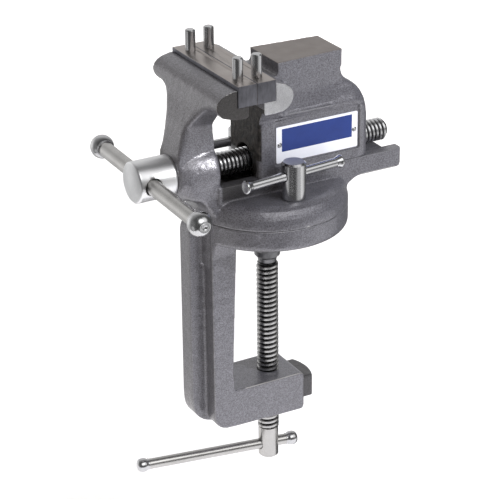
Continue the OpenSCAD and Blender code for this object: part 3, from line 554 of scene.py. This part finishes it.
# Painted shade: the walls of the head's cross hole are coloured near black.
painted_hole_shade = steel("painted hole shade", (0.03, 0.03, 0.03), (0.06, 0.06, 0.06), (0.4, 0.5))
spindle_thread = thread_steel("spindle thread", (0, 1, 1), (0, 0, 0.0411), 0.0052, 0.00655,
                              (0.07, 0.07, 0.075), (0.85, 0.85, 0.86))
handle_x, handle_tilt = -76.8, 1.2
hole_radius, hole_start, hole_depth = 5.15, 8.6, 10.9
head_face, head_back, journal_end = -84.7, -60, -38.7
cross_hole = (Matrix.Translation((handle_x, 0, spindle_z))
              @ Matrix.Rotation(math.radians(handle_tilt - 90), 4, "X"))
head = part_of_node("spindle", (journal_end, 0, 0), (-1, 0, 0))
head = mouths_opened(head, cross_hole, hole_radius, hole_start, (1, 0, 0), -84.2, -62)
along_x = Matrix.Translation((0, 0, spindle_z)) @ Matrix.Rotation(math.pi / 2, 4, "Y")
screw = rolled_thread(6.65, 5.3, 2.5, journal_end - 0.2, 78, 5.6, 4.5, along_x)
spindle = joined("spindle_turning", [head, screw], satin_head, spindle_thread, turned_face, painted_hole_shade)
for face in spindle.data.polygons:
    place = face.center * 1000
    inside = place.x < head_back and math.hypot(place.y, place.z - spindle_z) < hole_depth
    face.material_index = 1 if place.x > journal_end else 2 if place.x < head_face else 3 if inside else 0
ride(spindle, "screw", "bright_steel", "spindle")


# The bar slides in the head, and a turned ball pressed on each reduced end keeps it there.
# Each ball has a collar towards the bar, and a faced end with a centre mark.
def turned(outline, place, around=64):
    """Outline of (radius, height) in mm about Z, from the low middle outwards and up to the high middle."""
    work = bmesh.new()
    rings = []
    for r, h in outline:
        turns = around if r > 1e-6 else 1
        angles = [2 * math.pi * i / around for i in range(turns)]
        rings.append([work.verts.new(Vector((r * math.cos(a), r * math.sin(a), h))) for a in angles])
    for low, high in zip(rings, rings[1:]):
        for i in range(around):
            corners = [low[i % len(low)], low[(i + 1) % len(low)],
                       high[(i + 1) % len(high)], high[i % len(high)]]
            work.faces.new(list(dict.fromkeys(corners)))
    work.transform(Matrix.Scale(0.001, 4) @ place)
    return work


def bow(radius, middle, start, end, steps):
    """Points of a circular bow for an outline, by angles in degrees from the middle's height."""
    angles = [math.radians(start + (end - start) * i / steps) for i in range(steps + 1)]
    return [(radius * math.cos(a), middle + radius * math.sin(a)) for a in angles]


collar = [(0, -4.9), (4.6, -4.9), (4.75, -5.0), (5.15, -4.9), (5.2, -4.75), (5.2, -4.35), (5.05, -4.3)]
centre_mark = [(3.15, 6.05), (2.75, 6.0), (2.6, 5.8), (2.3, 5.8), (2.15, 5.95), (1.5, 5.9), (1.2, 5.6),
               (0, 5.1)]
ball = collar + bow(6.85, 0, -38, 60, 22) + centre_mark
ball_reach, pushed_out = 59.2, -5
bar_place = (Matrix.Translation((handle_x, 0, spindle_z)) @ Matrix.Rotation(math.radians(handle_tilt), 4, "X")
             @ Matrix.Translation((0, pushed_out, 0)))
for name, way in (("ball_near", 1), ("ball_far", -1)):
    end_place = (bar_place @ Matrix.Translation((0, -ball_reach * way, 0))
                 @ Matrix.Rotation(math.radians(90 * way), 4, "X"))
    knob = joined(name, [turned(ball, end_place)], bright)
    ride(knob, "handle", "bright_steel")
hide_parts("spindle_bar_balls")


# The lock bars' ends are upset into flared caps with a faced, faintly dished end.
# They keep each bar from sliding out of its post, near and far.
cap = [(0, 0), (2.75, 0), (2.95, 0.3), (3.0, 1.0), (3.3, 1.9), (3.7, 2.7), (3.8, 3.0), (3.8, 3.7),
       (3.65, 3.95), (3.4, 4.1), (3.1, 4.15), (2.4, 4.0), (0, 3.85)]
lock_y, lock_bar_z, cap_reach = 30.4, 39.3, 28.75
cap_stands = Matrix.Translation((cap_reach, 0, 0)) @ Matrix.Rotation(math.pi / 2, 4, "Y")
for side, way, turn in (("near", -1, 5.6), ("far", 1, -2)):
    lock_place = (Matrix.Translation((0, way * lock_y, lock_bar_z))
                  @ Matrix.Rotation(math.radians(turn), 4, "Z"))
    ends = [turned(cap, lock_place @ Matrix.Rotation(spin, 4, "Z") @ cap_stands, 40) for spin in (0, math.pi)]
    flared = joined(f"lock_bar_{side}_ends", ends, bright)
    ride(flared, f"{side}_lock_bar", "bright_steel", f"lock_caps_{side}")


# The nameplate is white lacquered sheet with a plain navy panel printed on it, and no wording.
# It lies in the recess of the sliding jaw's body, held by two small rivets.
def lacquer(name, dark, light):
    material, tree, shader = finish(name, Coat_Weight=0.5, Coat_Roughness=0.12)
    haze = place_group(tree, brushed, Stretch=(1, 1, 1), Fineness=500.0)
    tree.links.new(blend_colours(tree, haze["Stain"], dark, light), shader.inputs["Base Color"])
    tree.links.new(spread(tree, haze["Streak"], 0, 1, 0.28, 0.36), shader.inputs["Roughness"])
    return material


def sheet_panel(x0, x1, z0, z1, front, back, corner, edge):
    """A rounded rectangle of sheet in the XZ plane, its front edge broken."""
    work = bmesh.new()
    outline = []
    for cx, cz, start in ((x1, z0, -90), (x1, z1, 0), (x0, z1, 90), (x0, z0, 180)):
        mx = cx - corner if cx == x1 else cx + corner
        mz = cz - corner if cz == z1 else cz + corner
        for i in range(5):
            a = math.radians(start + 90 * i / 4)
            outline.append((mx + corner * math.cos(a), mz + corner * math.sin(a)))
    mid_x, mid_z = (x0 + x1) / 2, (z0 + z1) / 2
    rings = []
    for depth, inset in ((back, 0), (front + edge, 0), (front, edge)):
        rings.append([work.verts.new(Vector((px - math.copysign(inset, px - mid_x), depth,
                                             pz - math.copysign(inset, pz - mid_z)))) for px, pz in outline])
    work.faces.new(rings[0])
    for low, high in zip(rings, rings[1:]):
        for i in range(len(low)):
            work.faces.new((low[i], high[i], high[(i + 1) % len(low)], low[(i + 1) % len(low)]))
    work.faces.new(rings[-1][::-1])
    bmesh.ops.recalc_face_normals(work, faces=work.faces)
    work.transform(Matrix.Scale(0.001, 4))
    return work


white = lacquer("white lacquer", (0.94, 0.95, 0.98), (0.97, 0.98, 1.0))
navy = lacquer("navy print", (0.004, 0.028, 0.19), (0.006, 0.036, 0.23))
plate = joined("nameplate_sheet", [sheet_panel(-3.2, 50, 41.1, 62.6, -16.7, -16.1, 0.8, 0.12)], white)
ride(plate, "jaw", "plate_white", "nameplate")
panel = joined("nameplate_panel", [sheet_panel(0.4, 46.2, 47.6, 61.2, -16.73, -16.6, 0.15, 0.03)], navy)
ride(panel, "jaw", "plate_white")


# The clamp screw is a right-hand screw turned from bar: it bears in the forged steel pad at its top, and its
# plain lower end has the cross hole for the sliding bar.
clamp_thread = thread_steel("clamp screw thread", (1, 1, 0), (0, 0, 0), 0.0050, 0.0061,
                            (0.06, 0.06, 0.062), (0.52, 0.515, 0.51))
thread_low, thread_high = -135, -25.5
tail = part_of_node("clamp_screw", (0, 0, thread_low), (0, 0, -1))
spigot = part_of_node("clamp_screw", (0, 0, thread_high - 0.05), (0, 0, 1))
screw = rolled_thread(6.35, 4.85, 3.0, thread_low - 0.2, thread_high, 5.95, 4.9, Matrix.Identity(4))
clamp_screw = joined("clamp_screw_turning", [tail, spigot, screw], satin, clamp_thread)
for face in clamp_screw.data.polygons:
    face.material_index = int(thread_low < face.center.z * 1000 < thread_high)
ride(clamp_screw, "clamp_spindle", "thread_steel", "clamp_screw")
pad_steel = steel("pad steel", (0.20, 0.20, 0.21), (0.34, 0.34, 0.35), (0.35, 0.5), fineness=900.0,
                  depth=0.00002)
in_finish(pad_steel, "clamp_pad")


# Pear-shaped ends are pressed on the clamp bar, each with a turned groove where it meets the bar.
# They are polished like the ends of the upper bars, and keep the bar in its screw.
pear = [(0, -3), (3.3, -3), (3.45, -2.8), (3.45, -2.4), (3.25, -2.2), (3.3, -1.95), (3.55, -1.6),
        (3.95, -0.9), (4.15, -0.1), (4.2, 0.6), (4.15, 1.6), (3.95, 2.5), (3.5, 3.3), (2.8, 3.9),
        (1.8, 4.25), (0.9, 4.36), (0, 4.4)]
clamp_bar_z, clamp_bar_turn = -146.9, -10
for name, spin, reach in (("knob_short", 0, 13.8), ("knob_long", math.pi, 78.3)):
    end_place = (Matrix.Translation((0, 0, clamp_bar_z))
                 @ Matrix.Rotation(math.radians(clamp_bar_turn) + spin, 4, "Z")
                 @ Matrix.Translation((reach, 0, 0)) @ Matrix.Rotation(math.pi / 2, 4, "Y"))
    knob = joined(name, [turned(pear, end_place, 48)], bright)
    ride(knob, "clamp_handle", "bright_steel")
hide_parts("clamp_bar_knobs")


# The studio: a plain pale floor below the clamp screw's lowest reach, and just over it a paper card that only
# shows where metal mirrors it. Broad soft light falls from the upper right, and a narrow spot on the boss.
paper, tree, shader = finish("white paper", Base_Color=(0.9, 0.9, 0.9, 1), Roughness=0.9,
                             Emission_Color=(1, 1, 1, 1), Emission_Strength=0.5)
place = node(tree, "TexCoord").outputs["Object"]
fibre = node(tree, "TexNoise", [(place, "Vector")], Scale=400.0, Detail=2.0)
relief(tree, shader, fibre.outputs["Fac"], 0.1, 0.0002)
floor_z, floor_reach, card_z = -215.5, 6000, -214
floor = joined("floor", [turned([(floor_reach, 0), (0, 0)], Matrix.Translation((0, 0, floor_z)))], paper)
floor.visible_glossy = False
card_work = bmesh.new()
card_corners = ((-60, 200), (-330, 200), (-330, -330), (262, -308), (40, 20))
card_work.faces.new([card_work.verts.new(Vector((cx, cy, card_z)) / 1000) for cx, cy in card_corners])
card = joined("reflecting_card", [card_work], paper)
card.visible_camera = False
card.visible_shadow = False
card.visible_diffuse = False

world = bpy.data.worlds.new("studio")
bpy.context.scene.world = world
world.use_nodes = True
tree = world.node_tree
towards = node(tree, "TexCoord").outputs["Generated"]


def along(way):
    """How far each direction of the surroundings runs along the given way."""
    made = node(tree, "VectorMath", [(towards, 0)], operation="DOT_PRODUCT")
    made.inputs[1].default_value = way
    return made.outputs["Value"]


# Soft bright patches that the steel mirrors: the way to each, where it begins and is full, and how bright.
glow = None
for way, edge, full, grey in (
        ((-0.13, -0.7, 0.7), 0.9, 0.99, 2.0),
        ((0.44, -0.62, 0.64), 0.86, 0.98, 1.0),
        ((0.44, 0.79, 0.42), 0.6, 0.95, 0.3),
        ((0.0, 0.9, 0.3), 0.2, 1.0, 0.3),
        ((-1.0, 0.1, 0.1), 0.8, 1.0, 0.12),
        ((-0.5, 0.85, 0.1), 0.85, 0.99, 0.35),
        ((-0.9, 0.0, -0.42), 0.95, 0.995, 0.5),
        ((0.8, -0.42, -0.4), 0.9, 0.98, 0.6),
        ((0.44, -0.79, -0.42), 0.8, 1.0, 0.5),
        ((-0.44, 0.79, -0.42), 0.7, 0.98, 0.45),
        ((0.0, 0.0, -1.0), 0.6, 0.95, 0.35)):
    patch = spread(tree, along(Vector(way).normalized()), edge, full, 0, grey, "SMOOTHSTEP")
    total = node(tree, "Math", [(patch, 0)], operation="ADD")
    total.inputs[1].default_value = 0.09
    if glow:
        tree.links.new(glow, total.inputs[1])
    glow = total.outputs[0]

# Diffuse light of the surroundings: stronger from the right and above, and warmer from the left.
warmth = spread(tree, along((-0.95, 0.3, 0.0)), -0.1, 0.7, 0, 1)
tint = blend_colours(tree, warmth, (0.95, 0.955, 1.0), (1.0, 0.78, 0.56))
strength = spread(tree, along((0.62, -0.66, 0.42)), -1, 1, 0.02, 0.64)
sky = node(tree, "Mix", [(strength, colour_a), (tint, colour_b)], data_type="RGBA", blend_type="MULTIPLY")
sky.inputs["Factor"].default_value = 1
path = node(tree, "LightPath")
soft = node(tree, "Mix", [(path.outputs["Is Diffuse Ray"], "Factor"), (glow, colour_a),
                          (sky.outputs[mixed], colour_b)], data_type="RGBA")
seen = tinted(tree, path.outputs["Is Camera Ray"], soft.outputs[mixed], (1, 1, 1))
tree.links.new(seen, tree.nodes["Background"].inputs["Color"])


def hang(name, lamp, place, way):
    """Hangs a lamp at its place, shining back along the way."""
    light = bpy.data.objects.new(name, lamp)
    bpy.context.scene.collection.objects.link(light)
    light.location = place
    light.rotation_mode = "QUATERNION"
    light.rotation_quaternion = way.to_track_quat("Z", "Y")
    return light


lamp_distance = 1.1
for name, way, size, power, colour in (
        ("key", (0.45, -0.75, 0.62), (0.5, 0.5), 7.6, (0.86, 0.89, 1.0)),
        ("left", (-1.0, -0.1, 0.3), (0.5, 0.9), 0.1, (1.0, 0.74, 0.5)),
        ("back", (0.5, 0.85, 0.12), (0.6, 0.6), 2.0, (1.0, 0.97, 0.93)),
        ("top", (0.1, 0.35, 1.0), (0.9, 0.6), 1.1, (1.0, 0.97, 0.93))):
    lamp = bpy.data.lights.new(name, "AREA")
    lamp.shape = "RECTANGLE"
    lamp.size, lamp.size_y = size
    lamp.energy = power
    lamp.color = colour
    hang(name, lamp, Vector(way).normalized() * lamp_distance, Vector(way)).visible_glossy = False

lamp = bpy.data.lights.new("boss_spot", "SPOT")
lamp.energy = 9
lamp.spot_size = math.radians(4.2)
lamp.spot_blend = 1
lamp.shadow_soft_size = 0.012
boss_middle, spot_distance = Vector((-0.0500, -0.015, 0.049)), 0.5
spot_way = Vector((0.3, -0.83, 0.45)).normalized()
hang("boss_spot", lamp, boss_middle + spot_way * spot_distance, spot_way)

# The camera's turn, tilt and roll in degrees, its focal length in pixels, and its place in its own axes.
azimuth, elevation, roll = (math.radians(a) for a in (-29.01024, 24.88179, -0.61464))
focal_pixels, picture_pixels, sensor = 1987.18793, 500, 36
eye = Vector((-9.70745, -17.32051, 1140.02321)) / 1000
back = Vector((math.sin(azimuth) * math.cos(elevation), -math.cos(azimuth) * math.cos(elevation),
               math.sin(elevation)))
level = Vector((math.cos(azimuth), math.sin(azimuth), 0))
upright = back.cross(level)
across = math.cos(roll) * level + math.sin(roll) * upright
upward = math.cos(roll) * upright - math.sin(roll) * level
stand = Matrix((across, upward, back)).transposed()
camera = bpy.data.objects.new("camera", bpy.data.cameras.new("camera"))
bpy.context.scene.collection.objects.link(camera)
camera.data.sensor_width = sensor
camera.data.lens = focal_pixels / picture_pixels * sensor
camera.data.clip_end = 20
camera.matrix_world = Matrix.Translation(stand @ eye) @ stand.to_4x4()
bpy.context.scene.camera = camera
bpy.context.scene.view_settings.view_transform = "Standard"
